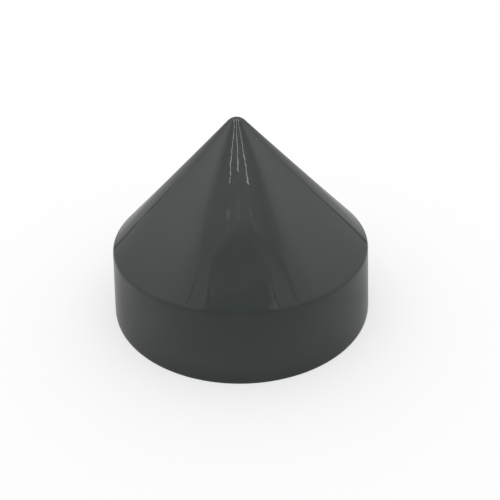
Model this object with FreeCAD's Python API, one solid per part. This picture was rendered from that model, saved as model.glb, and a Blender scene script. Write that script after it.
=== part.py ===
"""A cone-topped pile cap: one thin plastic shell that sits over the head of a round dock pile.

The shell is turned about Z. Its mouth rests on the plane z = 0, with the origin at the
centre of the mouth, and its tip points up. All lengths are in millimetres.
"""
import FreeCAD, Part
import math
import os

# Driving dimensions
MOUTH_BORE = 254.0            # inside diameter at the mouth, for a ten inch pile
WALL = 3.2                    # thickness of the shell, square to its faces
SKIRT_HEIGHT = 70.0           # mouth to the sharp corner where skirt and cone would meet
SKIRT_DRAFT_DEG = 6.0         # how much the skirt opens towards the mouth, on each side
CONE_SLOPE_DEG = 45.0         # the cone's flank above the horizontal
FLANK_DIP = 0.45              # how far the flank's middle lies below a straight line
TIP_INSIDE_RADIUS = 7.9       # the ball at the tip, measured inside the shell
SHOULDER_INSIDE_RADIUS = 3.0  # the bend between cone and skirt, measured inside the shell
RIM_ROUND = 0.5               # the two edges of the rim are eased by this radius

# The sharp outline of the outside, which the bends then round off
DRAFT = math.radians(SKIRT_DRAFT_DEG)
SLOPE = math.radians(CONE_SLOPE_DEG)
MOUTH_RADIUS = MOUTH_BORE / 2 + WALL / math.cos(DRAFT)
CORNER_RADIUS = MOUTH_RADIUS - SKIRT_HEIGHT * math.tan(DRAFT)
CONE_HEIGHT = CORNER_RADIUS * math.tan(SLOPE)


def at(radius, height):
    """A point, or a direction, in the half section that is turned about Z."""
    return FreeCAD.Vector(radius, 0, height)


SHARP_CORNER = at(CORNER_RADIUS, SKIRT_HEIGHT)
SHARP_TIP = at(0, SKIRT_HEIGHT + CONE_HEIGHT)
OUT_OF_FLANK = at(math.sin(SLOPE), math.cos(SLOPE))
OUT_OF_SKIRT = at(math.cos(DRAFT), math.sin(DRAFT))
DOWN_SKIRT = at(math.sin(DRAFT), -math.cos(DRAFT))


def flank_arc():
    """Centre and outside radius of the shallow hollow that the cone's flank follows."""
    half_chord = SHARP_TIP.distanceToPoint(SHARP_CORNER) / 2
    radius = (half_chord**2 + FLANK_DIP**2) / (2 * FLANK_DIP)
    centre = (SHARP_CORNER + SHARP_TIP) / 2 + OUT_OF_FLANK * (radius - FLANK_DIP)
    return centre, radius


def tip_ball():
    """Centre and outside radius of the tip: a ball on the axis that touches the flank."""
    flank_centre, flank_radius = flank_arc()
    radius = TIP_INSIDE_RADIUS + WALL
    reach = flank_radius + radius
    centre = at(0, flank_centre.z - math.sqrt(reach**2 - flank_centre.x**2))
    return centre, radius


def shoulder_bend():
    """Centre and outside radius of the bend that touches both the skirt and the flank."""
    flank_centre, flank_radius = flank_arc()
    radius = SHOULDER_INSIDE_RADIUS + WALL
    reach = flank_radius + radius
    level_with_corner = SHARP_CORNER - OUT_OF_SKIRT * radius
    to_flank_centre = flank_centre - level_with_corner
    along = to_flank_centre.dot(DOWN_SKIRT)
    slide = along + math.sqrt(along**2 + reach**2 - to_flank_centre.Length**2)
    return level_with_corner + DOWN_SKIRT * slide, radius


def line(start, end):
    """A straight edge."""
    return Part.LineSegment(start, end).toShape()


def arc(centre, radius, start, end):
    """The shorter arc from one point to another about a centre."""
    middle = centre + ((start - centre) + (end - centre)).normalize() * radius
    return Part.Arc(start, middle, end).toShape()


def skin(depth):
    """One face of the shell in section: its edges, its point at the mouth and its crown.

    The skin lies depth under the outside, so 0 gives the outer skin and WALL the inner.
    """
    flank_centre, flank_radius = flank_arc()
    tip_centre, tip_radius = tip_ball()
    shoulder_centre, shoulder_radius = shoulder_bend()
    shoulder_radius = shoulder_radius - depth
    flank_radius = flank_radius + depth
    tip_radius = tip_radius - depth

    mouth = at(MOUTH_RADIUS - depth / math.cos(DRAFT), 0)
    skirt_top = shoulder_centre + OUT_OF_SKIRT * shoulder_radius
    flank_foot = shoulder_centre + (flank_centre - shoulder_centre).normalize() * shoulder_radius
    flank_head = tip_centre + (flank_centre - tip_centre).normalize() * tip_radius
    crown = tip_centre + at(0, tip_radius)
    edges = [
        line(mouth, skirt_top),
        arc(shoulder_centre, shoulder_radius, skirt_top, flank_foot),
        arc(flank_centre, flank_radius, flank_foot, flank_head),
        arc(tip_centre, tip_radius, flank_head, crown),
    ]
    return edges, mouth, crown


def half_section():
    """The shell's wall from the mouth to the axis, closed across the rim and on the axis."""
    outer_edges, outer_mouth, outer_crown = skin(0)
    inner_edges, inner_mouth, inner_crown = skin(WALL)
    rim = line(inner_mouth, outer_mouth)
    on_axis = line(outer_crown, inner_crown)
    return Part.Face(Part.Wire([rim, *outer_edges, on_axis, *reversed(inner_edges)]))


def cap_shell():
    """The whole cap: the section turned about Z, with the two circles of its rim eased."""
    turned = half_section().revolve(at(0, 0), at(0, 1), 360)
    rim_circles = [edge for edge in turned.Edges if edge.BoundBox.ZMax < RIM_ROUND]
    return turned.makeFillet(RIM_ROUND, rim_circles)


os.makedirs("parts", exist_ok=True)
cap_shell().exportStep("parts/cap_shell.step")
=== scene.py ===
"""A pile cap of glossy dark plastic, stood in a small light tent and seen from above its front.

All lengths are in metres. The cap stands on the floor z = 0 with its axis on Z, and the camera
looks along +Y and down at it. The tent is made of cards that only gloss sees. A light of 1 is
that of a white card in full light.
"""
import math
from itertools import pairwise

import bmesh
import bpy
from mathutils import Matrix, Vector


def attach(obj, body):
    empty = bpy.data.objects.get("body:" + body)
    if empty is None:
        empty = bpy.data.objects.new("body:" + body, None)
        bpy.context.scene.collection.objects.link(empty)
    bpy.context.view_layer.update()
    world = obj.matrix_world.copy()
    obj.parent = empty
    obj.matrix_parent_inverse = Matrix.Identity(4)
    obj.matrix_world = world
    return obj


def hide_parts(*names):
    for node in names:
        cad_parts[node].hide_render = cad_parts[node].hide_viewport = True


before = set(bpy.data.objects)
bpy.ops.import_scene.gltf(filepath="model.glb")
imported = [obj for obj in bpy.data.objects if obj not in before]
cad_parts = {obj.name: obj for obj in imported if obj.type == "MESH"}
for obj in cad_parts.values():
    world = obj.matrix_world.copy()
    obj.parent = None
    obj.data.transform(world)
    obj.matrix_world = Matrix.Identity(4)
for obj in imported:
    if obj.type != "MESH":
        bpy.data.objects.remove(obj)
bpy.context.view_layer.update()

# The shell, as the part has it
MOUTH_BORE = 0.254
WALL = 0.0032
SKIRT_HEIGHT = 0.070
SKIRT_DRAFT = math.radians(6)
CONE_SLOPE = math.radians(45)
FLANK_DIP = 0.00045
TIP_INSIDE_RADIUS = 0.0079
SHOULDER_INSIDE_RADIUS = 0.003
RIM_ROUND = 0.0005

# How finely the shell is drawn, and within what distance two of its points become one. The outer
# skin is finer, so that its gloss bends cleanly.
STEPS_ROUND = 320
OUTER_SKIRT_STEPS = 32
OUTER_FLANK_STEPS = 80
INNER_SKIRT_STEPS = 8
INNER_FLANK_STEPS = 24
SHOULDER_STEPS = 24
TIP_STEPS = 14
RIM_STEPS = 4
MERGE_DISTANCE = 1e-6

# Below, a fade is a soft change: where it starts and where it stops, and the value at each. Its
# comment names the axis or the distance that it runs along.

# The plastic: two tones and two roughnesses that lie in lumps, how far apart these are, and the
# part of a noise's range in which one turns into the other
DARK_TONE = (0.0140, 0.0222, 0.0203, 1)
PALE_TONE = (0.0160, 0.0248, 0.0227, 1)
TONE_LUMPS = 0.03
ROUGHNESS = (0.03, 0.05)
ROUGHNESS_LUMPS = 0.02
LUMP_EDGE = (0.3, 0.7)
REFRACTIVE_INDEX = 1.47

# The ripple of its gloss: how far apart its lumps are, how deep they are near the tip, and the
# fade of that depth with height
RIPPLE_LUMPS = 0.004
RIPPLE_DEPTH = 0.00006
RIPPLE_UP = (0.12, 0.160, 0.12, 1.0)

# The camera: where it stands, how far it looks down from +Y, and how far it is turned about its
# line of sight
CAMERA_PLACE = Vector((-0.01786, -0.45602, 0.34126))
CAMERA_DOWN = math.radians(32.293)
CAMERA_ROLL = math.radians(-2.636)
CAMERA_LENS_MM = 38.88
CAMERA_SENSOR_MM = 36.0
CAMERA_SHIFT_X = 0.05664

# The tent, whose front is towards the camera. Its side walls are left and right by the sign of
# their x. What is fixed to a wall stands proud of it, and where cards overlap, the one that is
# seen stands prouder.
LEFT = -1
RIGHT = 1
TENT_SIDE = 0.40
TENT_BACK = 0.40
TENT_FRONT = -0.345
TENT_TOP = 0.60
PROUD = 0.004

# The opening in its front: its left and its right edge, as x and z from the top down
WINDOW_FOOT = 0.10
WINDOW_LEFT = [(-0.143, 0.600), (-0.176, 0.590), (-0.233, 0.577), (-0.247, 0.570), (-0.252, 0.559),
               (-0.251, 0.540), (-0.238, 0.485), (-0.226, 0.436), (-0.232, 0.350), (-0.190, WINDOW_FOOT)]
WINDOW_RIGHT = [(0.050, 0.600), (0.065, 0.586), (0.070, 0.573), (0.084, 0.561), (0.111, 0.543),
                (0.167, 0.520), (0.194, 0.508), (0.210, 0.489), (0.194, 0.462), (0.154, 0.434),
                (0.150, 0.402), (0.134, 0.387), (0.126, 0.377), (0.120, 0.200), (0.130, WINDOW_FOOT)]

# The light through the opening, as fades with height: from dim to half bright, from there to
# bright, and brighter still below the ceiling. The second is lifted on the right, by a fade
# along X.
WINDOW_LOW = (0.360, 0.385, 0.74, 0.82)
WINDOW_HIGH = (0.395, 0.425, 0.0, 0.10)
WINDOW_TOP = (0.552, 0.596, 0.0, 0.17)
WINDOW_LIFT = (0.02, 0.06, 0.0, 0.035)

# The flaps each side of it: the fade of their light with height, the share of it that the right
# one keeps at its top, and the light of the sill between them
LEFT_FLAP_UP = (0.05, 0.42, 0.82, 1.14)
RIGHT_FLAP_UP = (0.03, 0.33, 0.77, 1.12)
RIGHT_FLAP_TOP = (0.47, 0.56, 1.0, 0.88)
SILL_LIGHT = 0.75

# A strip of the ceiling over the opening, as x and y
ABOVE_WINDOW = [(-0.020, TENT_FRONT), (-0.010, -0.338), (0.070, -0.336), (0.128, -0.329),
                (0.135, TENT_FRONT)]
ABOVE_LIGHT = 1.10

# The fold in the right flap, as x and z: its crease and its hem from the top down, with the
# fades of their light with height, and how far each stands proud
FOLD_LINE_WIDTH = 0.012
FOLD_CREASE = [(0.182, 0.450), (0.185, 0.441), (0.180, 0.429), (0.177, 0.420), (0.178, 0.413),
               (0.176, 0.404), (0.177, 0.394), (0.181, 0.386), (0.182, 0.381), (0.178, 0.345),
               (0.160, 0.230)]
FOLD_CREASE_UP = (0.395, 0.43, 0.79, 0.90)
FOLD_CREASE_PROUD = 2 * PROUD
FOLD_HEM = [(0.160, 0.445), (0.158, 0.435), (0.160, 0.420), (0.161, 0.405), (0.166, 0.394),
            (0.168, 0.380)]
FOLD_HEM_UP = (0.385, 0.45, 1.25, 1.0)
FOLD_HEM_PROUD = 1.5 * PROUD

# The half tone between the opening's edge and the fold, and the bright cloth at the fold's foot,
# with the fades of their light along X, and how far the second stands proud
HALF_TONE_BY_WINDOW = WINDOW_RIGHT[8:13]
HALF_TONE_BY_FOLD = [(0.178, 0.377), (0.174, 0.400), (0.172, 0.420), (0.175, 0.440)]
HALF_TONE_ACROSS = (0.128, 0.172, 0.80, 1.08)
FOLD_FOOT = [(0.147, 0.381), (0.180, 0.387), (0.180, 0.372), (0.165, 0.300), (0.145, 0.235),
             (0.128, 0.235), (0.132, 0.370)]
FOLD_FOOT_ACROSS = (0.138, 0.168, 1.10, 1.48)
FOLD_FOOT_PROUD = 1.75 * PROUD

# A pale bar by the opening's left edge and the dark strip beside it, as x and z from the top
# down, with the fade of the bar's light with height, and how far the bar stands proud
BAR = [(-0.189, 0.442), (-0.179, 0.423), (-0.173, 0.411), (-0.165, 0.394)]
BAR_WIDTH = 0.014
BAR_UP = (0.420, 0.430, 0.97, 1.14)
BAR_PROUD = 2 * PROUD
BAR_SHADE = [(-0.215, 0.456), (-0.205, 0.436), (-0.198, 0.424), (-0.189, 0.405)]
BAR_SHADE_WIDTH = 0.026
BAR_SHADE_LIGHT = 0.80

# Each side wall is brightest at a spot near its top: y and z of the spot, how far its light
# reaches along y and z, and the light far from it and at it
LEFT_SPOT = ((-0.016, 0.555), (0.538, 0.609), (0.625, 1.880))
RIGHT_SPOT = ((-0.041, 0.516), (0.553, 0.621), (0.500, 1.775))

# What each side wall gains in front and loses behind along its foot, as a fade along Y, the share
# of that with height, and what both walls gain near the tent's front, along Y too
LEFT_FOOT = (-0.20, 0.13, 0.22, -0.10)
RIGHT_FOOT = (-0.25, 0.06, 0.28, -0.04)
WALL_FOOT_UP = (0.05, 0.33, 1.0, 0.0)
WALL_BY_FRONT = (TENT_FRONT, -0.25, 0.12, 0.0)

# The ceiling's cloth: the fade of its light along the way aside from its middle, what it gains
# along the same way near the side walls, and the share of that with the distance from y = 0
CEILING_MIDDLE_X = 0.02
CEILING_ASIDE = (0.08, 0.29, 1.37, 1.14)
CEILING_BY_WALL = (0.27, 0.42, 0.0, 0.65)
CEILING_HALFWAY_BACK = (0.05, 0.30, 1.0, 0.1)

# What the ceiling gains left of the lamps, as two fades along X and one along Y, and the share of
# its light that it keeps near the tent's front, along Y too
CEILING_LEFT_START = (-0.36, -0.28, 0.0, 1.0)
CEILING_LEFT_STOP = (-0.20, -0.14, 0.11, 0.0)
CEILING_LEFT_ALONG = (-0.20, -0.15, 1.0, 0.0)
CEILING_BY_FRONT = (TENT_FRONT, -0.22, 0.90, 1.0)

# The back wall's cloth: its light at the foot of its middle, what it gains for each metre aside
# and for each metre up, and a fade with height that is added
BACK_MIDDLE_X = 0.03
BACK_LEAST_LIGHT = 0.235
BACK_GAIN_ASIDE = 0.70
BACK_GAIN_UP = 0.35
BACK_UPPER = (0.30, 0.55, 0.0, 0.45)

# The seams of the tent, from the bottom up: two as y and z on the side walls and one as x and z on
# the back wall, the step across each kind, and the fade of their light with height
LEFT_SEAM = [(0.306, 0.034), (0.345, 0.057), (0.362, 0.066), (0.381, 0.075), (0.396, 0.098)]
RIGHT_SEAM = [(0.240, 0.040), (0.262, 0.050), (0.286, 0.057), (0.300, 0.066), (0.320, 0.080),
              (0.337, 0.104), (0.350, 0.133), (0.352, 0.165), (0.370, 0.190), (0.392, 0.240)]
ACROSS_SIDE_SEAM = (0, 0.030, -0.020)
BACK_SEAM = [(-0.396, 0.100), (-0.389, 0.115), (-0.382, 0.145), (-0.371, 0.169), (-0.353, 0.195)]
ACROSS_BACK_SEAM = (0.045, 0, 0)
SEAM_UP = (0.07, 0.26, 0.25, 0.48)

# The pale cloth in the back corners lies below the side seams. On the right it stops partway up.
RIGHT_CORNER_SEAM = RIGHT_SEAM[:7]
CORNER_LIGHT = 0.56

# The hems down the front, as x and z from the top down. At its foot the left one turns onto the
# side wall, where it is given as y and z, and there the width is a step across it. The light of
# the right one fades with height.
HEM_WIDTH = 0.026
LEFT_HEM = [(-0.400, 0.600), (-0.387, 0.544), (-0.387, 0.521), (-0.389, 0.512), (-0.386, 0.504),
            (-0.383, 0.499)]
LEFT_HEM_TURN = [(-0.384, 0.500), (-0.391, 0.496), (-0.399, 0.492)]
ACROSS_HEM_TURN = (0.017, 0, -0.009)
LEFT_HEM_FOOT = [(-0.345, 0.504), (-0.343, 0.496), (-0.339, 0.489), (-0.336, 0.482), (-0.326, 0.469)]
ACROSS_HEM_FOOT = (0, -0.011, 0.010)
LEFT_HEM_LIGHT = 0.89
RIGHT_HEM = [(0.331, 0.580), (0.341, 0.565), (0.356, 0.551), (0.358, 0.527), (0.346, 0.498),
             (0.342, 0.486), (0.348, 0.480), (0.349, 0.471), (0.344, 0.460), (0.350, 0.453),
             (0.362, 0.447), (0.374, 0.440)]
RIGHT_HEM_UP = (0.450, 0.466, 0.80, 0.925)

# Three lamp bars under the ceiling: where each stands, where its near end is, and the fade of
# their light along Y
LAMP_PLACES = (-0.124, 0.000, 0.130)
LAMP_FRONTS = (-0.237, -0.243, -0.2515)
LAMP_BACK = 0.30
LAMP_WIDTH = 0.010
LAMP_ALONG = (-0.190, -0.130, 9.8, 12.2)

# The lamps' fittings in front of them: the line of each as x and y, the step from one of its
# edges to the other, and its light, or the fade of its light along Y
FITTINGS = {
    "fitting_left": ([(-0.126, -0.295), (-0.125, -0.301), (-0.129, -0.307), (-0.137, -0.310)],
                     (0.047, -0.010, 0), 1.80),
    "fitting_left_tail": ([(-0.128, -0.313), (-0.127, -0.336)], (0.022, 0, 0), 1.35),
    "fitting_middle": ([(-0.012, -0.290), (-0.011, -0.308)], (0.040, 0, 0), 1.45),
    "fitting_spot": ([(-0.010, -0.3085), (-0.010, -0.3125)], (0.030, 0, 0), 1.90),
    "fitting_below": ([(-0.024, -0.3175), (-0.025, -0.328)], (0.050, 0, 0), 1.42),
    "fitting_right": ([(0.116, -0.304), (0.124, -0.312), (0.134, -0.322)],
                      (0.030, 0, 0), (-0.322, -0.306, 1.30, 1.75)),
    "fitting_right_tail": ([(0.136, -0.319), (0.149, -0.3235), (0.151, -0.3365)],
                           (0.030, 0, 0), 1.31),
}

# The grey ring round the cap, which only gloss sees and which stands in for the floor. Its light carries
# the cap's painted shadow: dark close to the cap and behind it.
APRON_INSIDE = 0.1305
APRON_OUTSIDE = 0.56
APRON_HEIGHT = 0.0008
APRON_STEPS = 64
APRON_TINT = (0.985, 0.99, 0.98)

# Where along Y it turns from its light in front to its light behind, which gains for each metre aside.
# This turn is the painted edge of the cap's shadow. Further aside than the bend, the turn lies further
# back by this share of the way past it.
APRON_SHADOW_EDGE = (-0.170, -0.036)
APRON_FRONT_LIGHT = 0.83
APRON_BEHIND_LIGHT = 0.330
APRON_BEHIND_GAIN = 0.513
APRON_BEND = 0.1
APRON_LEAN = 0.5

# What it gains along Y at its sides, and the share of that along the way aside
APRON_SIDE_ALONG = (-0.08, -0.02, -0.04, 0.085)
APRON_ASIDE = (0.15, 0.19, 0.0, 1.0)

# The shares of its light that it keeps, with the distance from the axis: close to the cap, as a painted
# contact shadow, and far out. The first gains near the cap's left foot, by two fades along X and one
# with that distance.
APRON_CAP_SHADOW = (0.130, 0.155, 0.90, 1.0)
APRON_FAR = (0.19, 0.25, 1.0, 0.965)
APRON_LEFT_START = (-0.125, -0.095, 0.0, 1.0)
APRON_LEFT_STOP = (-0.075, -0.025, 0.085, 0.0)
APRON_LEFT_OUT = (0.160, 0.185, 1.0, 0.0)

# Its share of light along X, which is more on the left
APRON_ACROSS = (-0.14, -0.07, 1.08, 1.0)

# The floor's matt white and its glow make white together where no shadow falls
FLOOR_SIZE = 8.0
FLOOR_WHITE = 0.52
FLOOR_GLOW = 0.48
WORLD_LIGHT = 1.0


def at(radius, height):
    """A point, or a direction, in the half section that is turned about Z."""
    return Vector((radius, 0, height))


TIP_RADIUS = TIP_INSIDE_RADIUS + WALL
SHOULDER_RADIUS = SHOULDER_INSIDE_RADIUS + WALL
MOUTH_RADIUS = MOUTH_BORE / 2 + WALL / math.cos(SKIRT_DRAFT)
CORNER_RADIUS = MOUTH_RADIUS - SKIRT_HEIGHT * math.tan(SKIRT_DRAFT)
SHARP_CORNER = at(CORNER_RADIUS, SKIRT_HEIGHT)
SHARP_TIP = at(0, SKIRT_HEIGHT + CORNER_RADIUS * math.tan(CONE_SLOPE))
OUT_OF_FLANK = at(math.sin(CONE_SLOPE), math.cos(CONE_SLOPE))
OUT_OF_SKIRT = at(math.cos(SKIRT_DRAFT), math.sin(SKIRT_DRAFT))
DOWN_SKIRT = at(math.sin(SKIRT_DRAFT), -math.cos(SKIRT_DRAFT))


def flank_arc():
    """Centre and outside radius of the shallow hollow that the cone's flank follows."""
    half_chord = (SHARP_TIP - SHARP_CORNER).length / 2
    radius = (half_chord**2 + FLANK_DIP**2) / (2 * FLANK_DIP)
    centre = (SHARP_CORNER + SHARP_TIP) / 2 + OUT_OF_FLANK * (radius - FLANK_DIP)
    return centre, radius


def tip_centre(flank_centre, flank_radius):
    """Centre of the ball at the tip, which touches the flank from inside."""
    reach = flank_radius + TIP_RADIUS
    return at(0, flank_centre.z - math.sqrt(reach**2 - flank_centre.x**2))


def shoulder_centre(flank_centre, flank_radius):
    """Centre of the bend that touches both the skirt and the flank from inside."""
    reach = flank_radius + SHOULDER_RADIUS
    level_with_corner = SHARP_CORNER - OUT_OF_SKIRT * SHOULDER_RADIUS
    to_flank_centre = flank_centre - level_with_corner
    along = to_flank_centre.dot(DOWN_SKIRT)
    slide = along + math.sqrt(along**2 + reach**2 - to_flank_centre.length_squared)
    return level_with_corner + DOWN_SKIRT * slide


def draw_arc(mesh, start, centre, end, steps):
    """Spins a vertex about a centre until it stands at the end, and gives the last vertex."""
    swing = (start.co - centre).cross(end - centre)
    angle = (start.co - centre).angle(end - centre)
    spun = bmesh.ops.spin(
        mesh, geom=[start], cent=centre, axis=swing.normalized(), angle=angle, steps=steps
    )
    return spun["geom_last"][0]


def draw_line(mesh, start, end, steps):
    """Extrudes a vertex in equal steps to the end, and gives the last vertex."""
    step = (end - start.co) / steps
    for _ in range(steps):
        start = bmesh.ops.extrude_vert_indiv(mesh, verts=[start])["verts"][0]
        start.co += step
    return start


def turn_about_z(mesh, geometry, steps):
    """Turns a section once round Z, closed where it meets itself."""
    bmesh.ops.spin(
        mesh,
        geom=geometry,
        cent=(0, 0, 0),
        axis=(0, 0, 1),
        angle=math.tau,
        steps=steps,
        use_merge=True,
    )


def skin_points(depth):
    """Where the bends of one skin begin and end, from its mouth to its crown."""
    flank, flank_radius = flank_arc()
    tip = tip_centre(flank, flank_radius)
    shoulder = shoulder_centre(flank, flank_radius)
    return {
        "mouth": at(MOUTH_RADIUS - depth / math.cos(SKIRT_DRAFT), 0),
        "skirt_top": shoulder + OUT_OF_SKIRT * (SHOULDER_RADIUS - depth),
        "shoulder": shoulder,
        "flank_foot": shoulder + (flank - shoulder).normalized() * (SHOULDER_RADIUS - depth),
        "flank": flank,
        "flank_head": tip + (flank - tip).normalized() * (TIP_RADIUS - depth),
        "tip": tip,
        "crown": tip + at(0, TIP_RADIUS - depth),
    }


def draw_section(mesh):
    """The shell's wall in section: down the outer skin, round the rim and up the inner skin."""
    outer = skin_points(0)
    inner = skin_points(WALL)
    outer_inset = RIM_ROUND * (1 + math.sin(SKIRT_DRAFT)) / math.cos(SKIRT_DRAFT)
    inner_inset = RIM_ROUND * (1 - math.sin(SKIRT_DRAFT)) / math.cos(SKIRT_DRAFT)
    outer_rim = at(outer["mouth"].x - outer_inset, RIM_ROUND)
    inner_rim = at(inner["mouth"].x + inner_inset, RIM_ROUND)

    point = mesh.verts.new(outer["crown"])
    point = draw_arc(mesh, point, outer["tip"], outer["flank_head"], TIP_STEPS)
    point = draw_arc(mesh, point, outer["flank"], outer["flank_foot"], OUTER_FLANK_STEPS)
    point = draw_arc(mesh, point, outer["shoulder"], outer["skirt_top"], SHOULDER_STEPS)
    point = draw_line(mesh, point, outer_rim + OUT_OF_SKIRT * RIM_ROUND, OUTER_SKIRT_STEPS)
    point = draw_arc(mesh, point, outer_rim, outer_rim - at(0, RIM_ROUND), RIM_STEPS)
    point = draw_line(mesh, point, inner_rim - at(0, RIM_ROUND), 1)
    point = draw_arc(mesh, point, inner_rim, inner_rim - OUT_OF_SKIRT * RIM_ROUND, RIM_STEPS)
    point = draw_line(mesh, point, inner["skirt_top"], INNER_SKIRT_STEPS)
    point = draw_arc(mesh, point, inner["shoulder"], inner["flank_foot"], SHOULDER_STEPS)
    point = draw_arc(mesh, point, inner["flank"], inner["flank_head"], INNER_FLANK_STEPS)
    draw_arc(mesh, point, inner["tip"], inner["crown"], TIP_STEPS)


def moulded_shell():
    """The whole cap as one smooth turned shell."""
    mesh = bmesh.new()
    draw_section(mesh)
    turn_about_z(mesh, mesh.verts[:] + mesh.edges[:], STEPS_ROUND)
    bmesh.ops.remove_doubles(mesh, verts=mesh.verts, dist=MERGE_DISTANCE)
    bmesh.ops.recalc_face_normals(mesh, faces=mesh.faces)
    for face in mesh.faces:
        face.smooth = True
    return finished_piece(mesh, "moulded_shell")


def finished_piece(mesh, name):
    """A new object from a finished mesh, with its place in its mesh."""
    data = bpy.data.meshes.new(name)
    mesh.to_mesh(data)
    mesh.free()
    piece = bpy.data.objects.new(name, data)
    bpy.context.scene.collection.objects.link(piece)
    return piece


def new_material(name):
    """An empty node material, and its node tree."""
    material = bpy.data.materials.new(name)
    material.use_nodes = True
    material.node_tree.nodes.clear()
    return material, material.node_tree


def add(tree, kind, inputs=None, **settings):
    """A node of that kind. Each input is given a value, or a socket that is linked to it."""
    node = tree.nodes.new("ShaderNode" + kind)
    for name, value in settings.items():
        setattr(node, name, value)
    for socket, value in (inputs or {}).items():
        if isinstance(value, bpy.types.NodeSocket):
            tree.links.new(value, node.inputs[socket])
        else:
            node.inputs[socket].default_value = value
    return node


def give_surface(tree, shader):
    """Makes that shader the material's surface."""
    add(tree, "OutputMaterial", {"Surface": shader})


def place_on(tree):
    """The place on the piece, in metres."""
    return add(tree, "TexCoord").outputs["Object"]


def axes_of(tree):
    """The place on the piece as its X, Y and Z."""
    return add(tree, "SeparateXYZ", {0: place_on(tree)}).outputs


def ramp(tree, value, start, stop, low, high):
    """Goes softly from low to high while the value goes from start to stop."""
    inputs = {"Value": value, "From Min": start, "From Max": stop, "To Min": low, "To Max": high}
    return add(tree, "MapRange", inputs, interpolation_type="SMOOTHSTEP").outputs["Result"]


def math_node(tree, operation, *values):
    """One sum on one, two or three values."""
    return add(tree, "Math", dict(enumerate(values)), operation=operation).outputs["Value"]


def length_of(tree, vector):
    """How long a vector is."""
    return add(tree, "VectorMath", {0: vector}, operation="LENGTH").outputs["Value"]


def distance_aside(tree, axes, middle_x):
    """How far the place lies left or right of a middle."""
    return math_node(tree, "ABSOLUTE", math_node(tree, "SUBTRACT", axes["X"], middle_x))


def lumps(tree, period, detail=2.0):
    """A soft noise in the piece, with lumps about that far apart."""
    inputs = {"Vector": place_on(tree), "Scale": 1 / period, "Detail": detail}
    return add(tree, "TexNoise", inputs).outputs["Fac"]


def gloss_plastic():
    """Smooth moulded plastic, nearly black, whose gloss has a faint ripple."""
    material, tree = new_material("dark_gloss_plastic")
    tone = add(tree, "Mix", {
        "Factor": ramp(tree, lumps(tree, TONE_LUMPS), *LUMP_EDGE, 0.0, 1.0),
        "A": DARK_TONE,
        "B": PALE_TONE,
    }, data_type="RGBA")

    near_tip = ramp(tree, axes_of(tree)["Z"], *RIPPLE_UP)
    ripple = math_node(tree, "MULTIPLY", lumps(tree, RIPPLE_LUMPS, detail=0.0), near_tip)
    bump = add(tree, "Bump", {"Height": ripple, "Strength": 1.0, "Distance": RIPPLE_DEPTH})

    shader = add(tree, "BsdfPrincipled", {
        "Base Color": tone.outputs["Result"],
        "IOR": REFRACTIVE_INDEX,
        "Roughness": ramp(tree, lumps(tree, ROUGHNESS_LUMPS), *LUMP_EDGE, *ROUGHNESS),
        "Normal": bump.outputs["Normal"],
    })
    give_surface(tree, shader.outputs["BSDF"])
    return material


def shine(tree, light, tint=(1, 1, 1)):
    """Makes the card shine with that light."""
    emission = add(tree, "Emission", {"Color": (*tint, 1), "Strength": light})
    give_surface(tree, emission.outputs["Emission"])


def even_light(name, light):
    """A card that shines evenly."""
    material, tree = new_material(name)
    shine(tree, light)
    return material


def ramp_light(name, axis, fade):
    """A card whose light fades along one axis."""
    material, tree = new_material(name)
    shine(tree, ramp(tree, axes_of(tree)[axis], *fade))
    return material


def wall_light(name, spot, foot):
    """A side wall's cloth: bright at the spot, fading round it, and changed along its foot."""
    material, tree = new_material(name)
    centre, reach, (dim, bright) = spot
    from_spot = add(tree, "Mapping", {
        "Vector": place_on(tree),
        "Location": (0, -centre[0] / reach[0], -centre[1] / reach[1]),
        "Scale": (0, 1 / reach[0], 1 / reach[1]),
    }).outputs["Vector"]
    cloth = ramp(tree, length_of(tree, from_spot), 0.0, 1.0, bright, dim)
    axes = axes_of(tree)
    low_down = ramp(tree, axes["Z"], *WALL_FOOT_UP)
    lit = math_node(tree, "MULTIPLY_ADD", low_down, ramp(tree, axes["Y"], *foot), cloth)
    by_front = ramp(tree, axes["Y"], *WALL_BY_FRONT)
    shine(tree, math_node(tree, "ADD", lit, by_front))
    return material


def ceiling_light():
    """The ceiling's cloth: brighter in the middle and near the walls, and dimmer at its front."""
    material, tree = new_material("ceiling_light")
    axes = axes_of(tree)
    aside = distance_aside(tree, axes, CEILING_MIDDLE_X)
    along = math_node(tree, "ABSOLUTE", axes["Y"])
    middle = ramp(tree, aside, *CEILING_ASIDE)
    by_wall = ramp(tree, aside, *CEILING_BY_WALL)
    halfway_back = ramp(tree, along, *CEILING_HALFWAY_BACK)
    cloth = math_node(tree, "MULTIPLY_ADD", by_wall, halfway_back, middle)
    left_start = ramp(tree, axes["X"], *CEILING_LEFT_START)
    left_stop = ramp(tree, axes["X"], *CEILING_LEFT_STOP)
    left_of_lamps = math_node(tree, "MULTIPLY", left_start, left_stop)
    near_front = ramp(tree, axes["Y"], *CEILING_LEFT_ALONG)
    cloth = math_node(tree, "MULTIPLY_ADD", left_of_lamps, near_front, cloth)
    front = ramp(tree, axes["Y"], *CEILING_BY_FRONT)
    shine(tree, math_node(tree, "MULTIPLY", cloth, front))
    return material


def window_light():
    """What shows through the opening: a dim room that is lighter towards its top."""
    material, tree = new_material("window_light")
    axes = axes_of(tree)
    lowered = math_node(tree, "SUBTRACT", axes["Z"], ramp(tree, axes["X"], *WINDOW_LIFT))
    low = ramp(tree, axes["Z"], *WINDOW_LOW)
    high = ramp(tree, lowered, *WINDOW_HIGH)
    top = ramp(tree, axes["Z"], *WINDOW_TOP)
    shine(tree, math_node(tree, "ADD", math_node(tree, "ADD", low, high), top))
    return material


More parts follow.
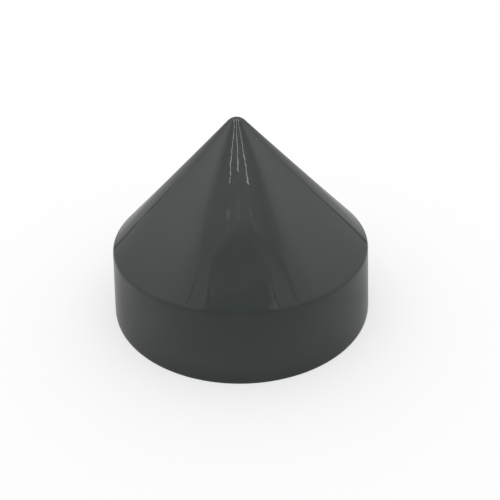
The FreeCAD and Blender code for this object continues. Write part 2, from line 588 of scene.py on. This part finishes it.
def back_light():
    """The back wall's cloth, dim in the middle and at its foot."""
    material, tree = new_material("back_light")
    axes = axes_of(tree)
    aside = distance_aside(tree, axes, BACK_MIDDLE_X)
    across = math_node(tree, "MULTIPLY_ADD", aside, BACK_GAIN_ASIDE, BACK_LEAST_LIGHT)
    upper = ramp(tree, axes["Z"], *BACK_UPPER)
    cloth = math_node(tree, "ADD", across, upper)
    shine(tree, math_node(tree, "MULTIPLY_ADD", axes["Z"], BACK_GAIN_UP, cloth))
    return material


def floor_ring_light_shaded_behind(tree, axes):
    """The ring's light before its contact shadow: pale in front, and dark behind the cap as painted
    shadow.
    """
    aside = math_node(tree, "ABSOLUTE", axes["X"])
    past_bend = math_node(tree, "MAXIMUM", math_node(tree, "SUBTRACT", aside, APRON_BEND), 0.0)
    back = math_node(tree, "MULTIPLY_ADD", past_bend, -APRON_LEAN, axes["Y"])
    behind = math_node(tree, "MULTIPLY_ADD", aside, APRON_BEHIND_GAIN, APRON_BEHIND_LIGHT)
    # The turn from the light in front to the darker light behind is the painted edge of the cap's
    # shadow.
    cloth = ramp(tree, back, *APRON_SHADOW_EDGE, APRON_FRONT_LIGHT, behind)
    wide = ramp(tree, aside, *APRON_ASIDE)
    return math_node(tree, "MULTIPLY_ADD", wide, ramp(tree, axes["Y"], *APRON_SIDE_ALONG), cloth)


def floor_ring_cap_shadow(tree, axes):
    """The share of that light that the ring keeps: less close to the cap, as a painted contact shadow,
    and more on the left.
    """
    distance = length_of(tree, place_on(tree))
    # Painted contact shadow: less light is kept close to the cap.
    close = ramp(tree, distance, *APRON_CAP_SHADOW)
    left_start = ramp(tree, axes["X"], *APRON_LEFT_START)
    left_stop = ramp(tree, axes["X"], *APRON_LEFT_STOP)
    left_foot = math_node(tree, "MULTIPLY", left_start, left_stop)
    close = math_node(tree, "MULTIPLY_ADD", left_foot, ramp(tree, distance, *APRON_LEFT_OUT), close)
    outwards = math_node(tree, "MULTIPLY", close, ramp(tree, distance, *APRON_FAR))
    return math_node(tree, "MULTIPLY", outwards, ramp(tree, axes["X"], *APRON_ACROSS))


def shadowed_floor_ring_light():
    """The grey ring's light, painted with the cap's shadow: dark behind the cap and close to it, and
    pale in front of it.
    """
    material, tree = new_material("shadowed_floor_ring_light")
    axes = axes_of(tree)
    light = math_node(tree, "MULTIPLY", floor_ring_light_shaded_behind(tree, axes), floor_ring_cap_shadow(tree, axes))
    shine(tree, light, APRON_TINT)
    return material


def stage_card(mesh, name, material):
    """Finishes a card of the tent, which only gloss sees."""
    piece = finished_piece(mesh, name)
    piece.data.materials.append(material)
    piece.visible_camera = False
    piece.visible_diffuse = False
    piece.visible_shadow = False


def card(name, corners, material):
    """A flat card with those corners."""
    mesh = bmesh.new()
    mesh.faces.new([mesh.verts.new(corner) for corner in corners])
    stage_card(mesh, name, material)


def upright_card(name, x, front, back, low, high, material):
    """A card that stands square to X."""
    card(name, [(x, front, low), (x, back, low), (x, back, high), (x, front, high)], material)


def facing_card(name, y, left, right, low, high, material):
    """A card that stands square to Y."""
    card(name, [(left, y, low), (right, y, low), (right, y, high), (left, y, high)], material)


def level_card(name, z, left, right, front, back, material):
    """A card that lies level."""
    card(name, [(left, front, z), (right, front, z), (right, back, z), (left, back, z)], material)


def on_front(line, proud=0.0):
    """The points of a line that is given as x and z on the front of the tent."""
    return [Vector((x, TENT_FRONT + proud, z)) for x, z in line]


def on_side(line, side, proud=PROUD):
    """The points of a line that is given as y and z on the left or the right wall."""
    return [(side * (TENT_SIDE - proud), y, z) for y, z in line]


def on_back(line):
    """The points of a line that is given as x and z on the back wall."""
    return [(x, TENT_BACK - PROUD, z) for x, z in line]


def under_ceiling(line, proud=PROUD):
    """The points of a line that is given as x and y under the ceiling."""
    return [(x, y, TENT_TOP - proud) for x, y in line]


def ribbon(name, points, across, material):
    """A strip of card along a line of points. Across is the step from one of its edges to the other."""
    mesh = bmesh.new()
    half = Vector(across) / 2
    start = Vector(points[0])
    edge = mesh.edges.new([mesh.verts.new(start - half), mesh.verts.new(start + half)])
    for here, there in pairwise(points):
        extruded = bmesh.ops.extrude_edge_only(mesh, edges=[edge])["geom"]
        ends = [part for part in extruded if isinstance(part, bmesh.types.BMVert)]
        bmesh.ops.translate(mesh, verts=ends, vec=Vector(there) - Vector(here))
        edge = mesh.edges.get(ends)
    stage_card(mesh, name, material)


def front_ribbon(name, line, proud, width, material):
    """A strip of card on the front of the tent, as wide as that along X."""
    ribbon(name, on_front(line, proud), (width, 0, 0), material)


def right_flap_light():
    """The right flap's cloth, which is brighter with height and a little dimmer at its top."""
    material, tree = new_material("flap_right_light")
    height = axes_of(tree)["Z"]
    cloth = ramp(tree, height, *RIGHT_FLAP_UP)
    shine(tree, math_node(tree, "MULTIPLY", cloth, ramp(tree, height, *RIGHT_FLAP_TOP)))
    return material


def tent_front():
    """The front of the tent: a flap each side of the opening, and what is above and under it."""
    left_edge = on_front(WINDOW_LEFT)
    right_edge = on_front(WINDOW_RIGHT)
    card("window", left_edge + right_edge[::-1], window_light())
    left_rest = on_front([(left_edge[-1].x, 0), (-TENT_SIDE, 0), (-TENT_SIDE, TENT_TOP)])
    card("flap_left", left_edge + left_rest, ramp_light("flap_left_light", "Z", LEFT_FLAP_UP))
    right_rest = on_front([(right_edge[-1].x, 0), (TENT_SIDE, 0), (TENT_SIDE, TENT_TOP)])
    card("flap_right", right_edge + right_rest, right_flap_light())
    card("above_window", under_ceiling(ABOVE_WINDOW, PROUD / 2), even_light("above_light", ABOVE_LIGHT))
    facing_card("sill", TENT_FRONT, WINDOW_LEFT[-1][0], WINDOW_RIGHT[-1][0], 0, WINDOW_FOOT,
                even_light("sill_light", SILL_LIGHT))


def right_fold():
    """The fold in the right flap: a dark crease, pale cloth beside it and a half tone by the window."""
    front_ribbon("fold_crease", FOLD_CREASE, FOLD_CREASE_PROUD, FOLD_LINE_WIDTH,
                 ramp_light("crease_light", "Z", FOLD_CREASE_UP))
    front_ribbon("fold_hem", FOLD_HEM, FOLD_HEM_PROUD, FOLD_LINE_WIDTH,
                 ramp_light("hem_light", "Z", FOLD_HEM_UP))
    card("fold_half_tone", on_front(HALF_TONE_BY_WINDOW + HALF_TONE_BY_FOLD, PROUD),
         ramp_light("half_tone_light", "X", HALF_TONE_ACROSS))
    card("fold_foot", on_front(FOLD_FOOT, FOLD_FOOT_PROUD),
         ramp_light("fold_foot_light", "X", FOLD_FOOT_ACROSS))


def left_bar():
    """A pale bar by the opening's left edge, with a dark strip beside it."""
    front_ribbon("bar", BAR, BAR_PROUD, BAR_WIDTH, ramp_light("bar_light", "Z", BAR_UP))
    front_ribbon("bar_shade", BAR_SHADE, PROUD, BAR_SHADE_WIDTH,
                 even_light("bar_shade_light", BAR_SHADE_LIGHT))


def seams():
    """The dark seams down the tent's back corners, with the pale cloth below them."""
    dark = ramp_light("seam_light", "Z", SEAM_UP)
    ribbon("seam_left", on_side(LEFT_SEAM, LEFT), ACROSS_SIDE_SEAM, dark)
    ribbon("seam_back", on_back(BACK_SEAM), ACROSS_BACK_SEAM, dark)
    ribbon("seam_right", on_side(RIGHT_SEAM, RIGHT), ACROSS_SIDE_SEAM, dark)
    pale = even_light("corner_light", CORNER_LIGHT)
    for name, side, seam in (("left", LEFT, LEFT_SEAM), ("right", RIGHT, RIGHT_CORNER_SEAM)):
        front, top = seam[0][0], seam[-1][1]
        in_corner = [(TENT_BACK, top), (TENT_BACK, 0), (front, 0)]
        card("corner_" + name, on_side(seam + in_corner, side, PROUD / 2), pale)


def hems():
    """The grey hems down the two sides of the tent's front."""
    grey = even_light("hem_left_light", LEFT_HEM_LIGHT)
    front_ribbon("hem_left", LEFT_HEM, PROUD, HEM_WIDTH, grey)
    ribbon("hem_left_turn", on_front(LEFT_HEM_TURN, PROUD), ACROSS_HEM_TURN, grey)
    ribbon("hem_left_foot", on_side(LEFT_HEM_FOOT, LEFT), ACROSS_HEM_FOOT, grey)
    front_ribbon("hem_right", RIGHT_HEM, PROUD, HEM_WIDTH,
                 ramp_light("hem_right_light", "Z", RIGHT_HEM_UP))


def lamp_bars():
    """Three thin lamps along the ceiling, a little dimmer at their near ends."""
    light = ramp_light("lamp_light", "Y", LAMP_ALONG)
    for number, (x, front) in enumerate(zip(LAMP_PLACES, LAMP_FRONTS), start=1):
        level_card(f"lamp_{number}", TENT_TOP - PROUD, x - LAMP_WIDTH / 2, x + LAMP_WIDTH / 2,
                   front, LAMP_BACK, light)


def lamp_fittings():
    """The lamps' fittings, which shine a little in front of them."""
    for name, (line, across, light) in FITTINGS.items():
        if isinstance(light, tuple):
            material = ramp_light(name + "_light", "Y", light)
        else:
            material = even_light(name + "_light", light)
        ribbon(name, under_ceiling(line), across, material)


def shadowed_floor_ring():
    """The grey ring just above the floor, which only gloss sees, whose light carries the cap's painted
    shadow.
    """
    mesh = bmesh.new()
    ends = [mesh.verts.new((radius, 0, APRON_HEIGHT)) for radius in (APRON_INSIDE, APRON_OUTSIDE)]
    edge = mesh.edges.new(ends)
    turn_about_z(mesh, [*ends, edge], APRON_STEPS)
    stage_card(mesh, "shadowed_floor_ring", shadowed_floor_ring_light())


def tent():
    """The light tent round the cap: its walls, its ceiling, its lamps and its open front."""
    upright_card("wall_left", -TENT_SIDE, TENT_FRONT, TENT_BACK, 0, TENT_TOP,
                 wall_light("left_light", LEFT_SPOT, LEFT_FOOT))
    upright_card("wall_right", TENT_SIDE, TENT_FRONT, TENT_BACK, 0, TENT_TOP,
                 wall_light("right_light", RIGHT_SPOT, RIGHT_FOOT))
    facing_card("wall_back", TENT_BACK, -TENT_SIDE, TENT_SIDE, 0, TENT_TOP, back_light())
    level_card("ceiling", TENT_TOP, -TENT_SIDE, TENT_SIDE, TENT_FRONT, TENT_BACK, ceiling_light())
    tent_front()
    right_fold()
    left_bar()
    seams()
    hems()
    lamp_bars()
    lamp_fittings()
    shadowed_floor_ring()


def floor_material():
    """A matt pale floor that the camera, gloss and glass see as white where no shadow falls."""
    material, tree = new_material("pale_floor")
    matt = add(tree, "BsdfDiffuse", {"Color": (FLOOR_WHITE, FLOOR_WHITE, FLOOR_WHITE, 1)})
    ray = add(tree, "LightPath").outputs
    seen = math_node(tree, "ADD", ray["Is Camera Ray"], ray["Is Glossy Ray"])
    seen = math_node(tree, "ADD", seen, ray["Is Transmission Ray"])
    glow = add(tree, "Emission", {"Strength": math_node(tree, "MULTIPLY", seen, FLOOR_GLOW)})
    both = add(tree, "AddShader", {0: matt.outputs["BSDF"], 1: glow.outputs["Emission"]})
    give_surface(tree, both.outputs["Shader"])
    return material


def pale_floor():
    """A plain floor under the cap and far past the view."""
    mesh = bmesh.new()
    bmesh.ops.create_grid(mesh, x_segments=1, y_segments=1, size=FLOOR_SIZE / 2)
    floor = finished_piece(mesh, "floor")
    floor.data.materials.append(floor_material())


def white_surround():
    """An even white world, which lights the cap and the floor from all round."""
    world = bpy.data.worlds.new("white_surround")
    world.use_nodes = True
    background = world.node_tree.nodes["Background"]
    background.inputs["Color"].default_value = (1, 1, 1, 1)
    background.inputs["Strength"].default_value = WORLD_LIGHT
    bpy.context.scene.world = world


def camera():
    """The camera, turned a little about its line of sight as the picture is."""
    data = bpy.data.cameras.new("camera")
    data.lens = CAMERA_LENS_MM
    data.sensor_width = CAMERA_SENSOR_MM
    data.shift_x = CAMERA_SHIFT_X
    eye = bpy.data.objects.new("camera", data)
    tilt = Matrix.Rotation(math.radians(90) - CAMERA_DOWN, 4, "X")
    roll = Matrix.Rotation(CAMERA_ROLL, 4, "Z")
    eye.matrix_world = Matrix.Translation(CAMERA_PLACE) @ tilt @ roll
    bpy.context.scene.collection.objects.link(eye)
    bpy.context.scene.camera = eye


def dress_cap():
    """Puts the smooth shell in the place of the plain one."""
    shell = moulded_shell()
    shell.data.materials.append(gloss_plastic())
    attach(shell, "root")
    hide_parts("cap_shell")


bpy.context.scene.view_settings.view_transform = "Standard"
camera()
white_surround()
pale_floor()
tent()
dress_cap()
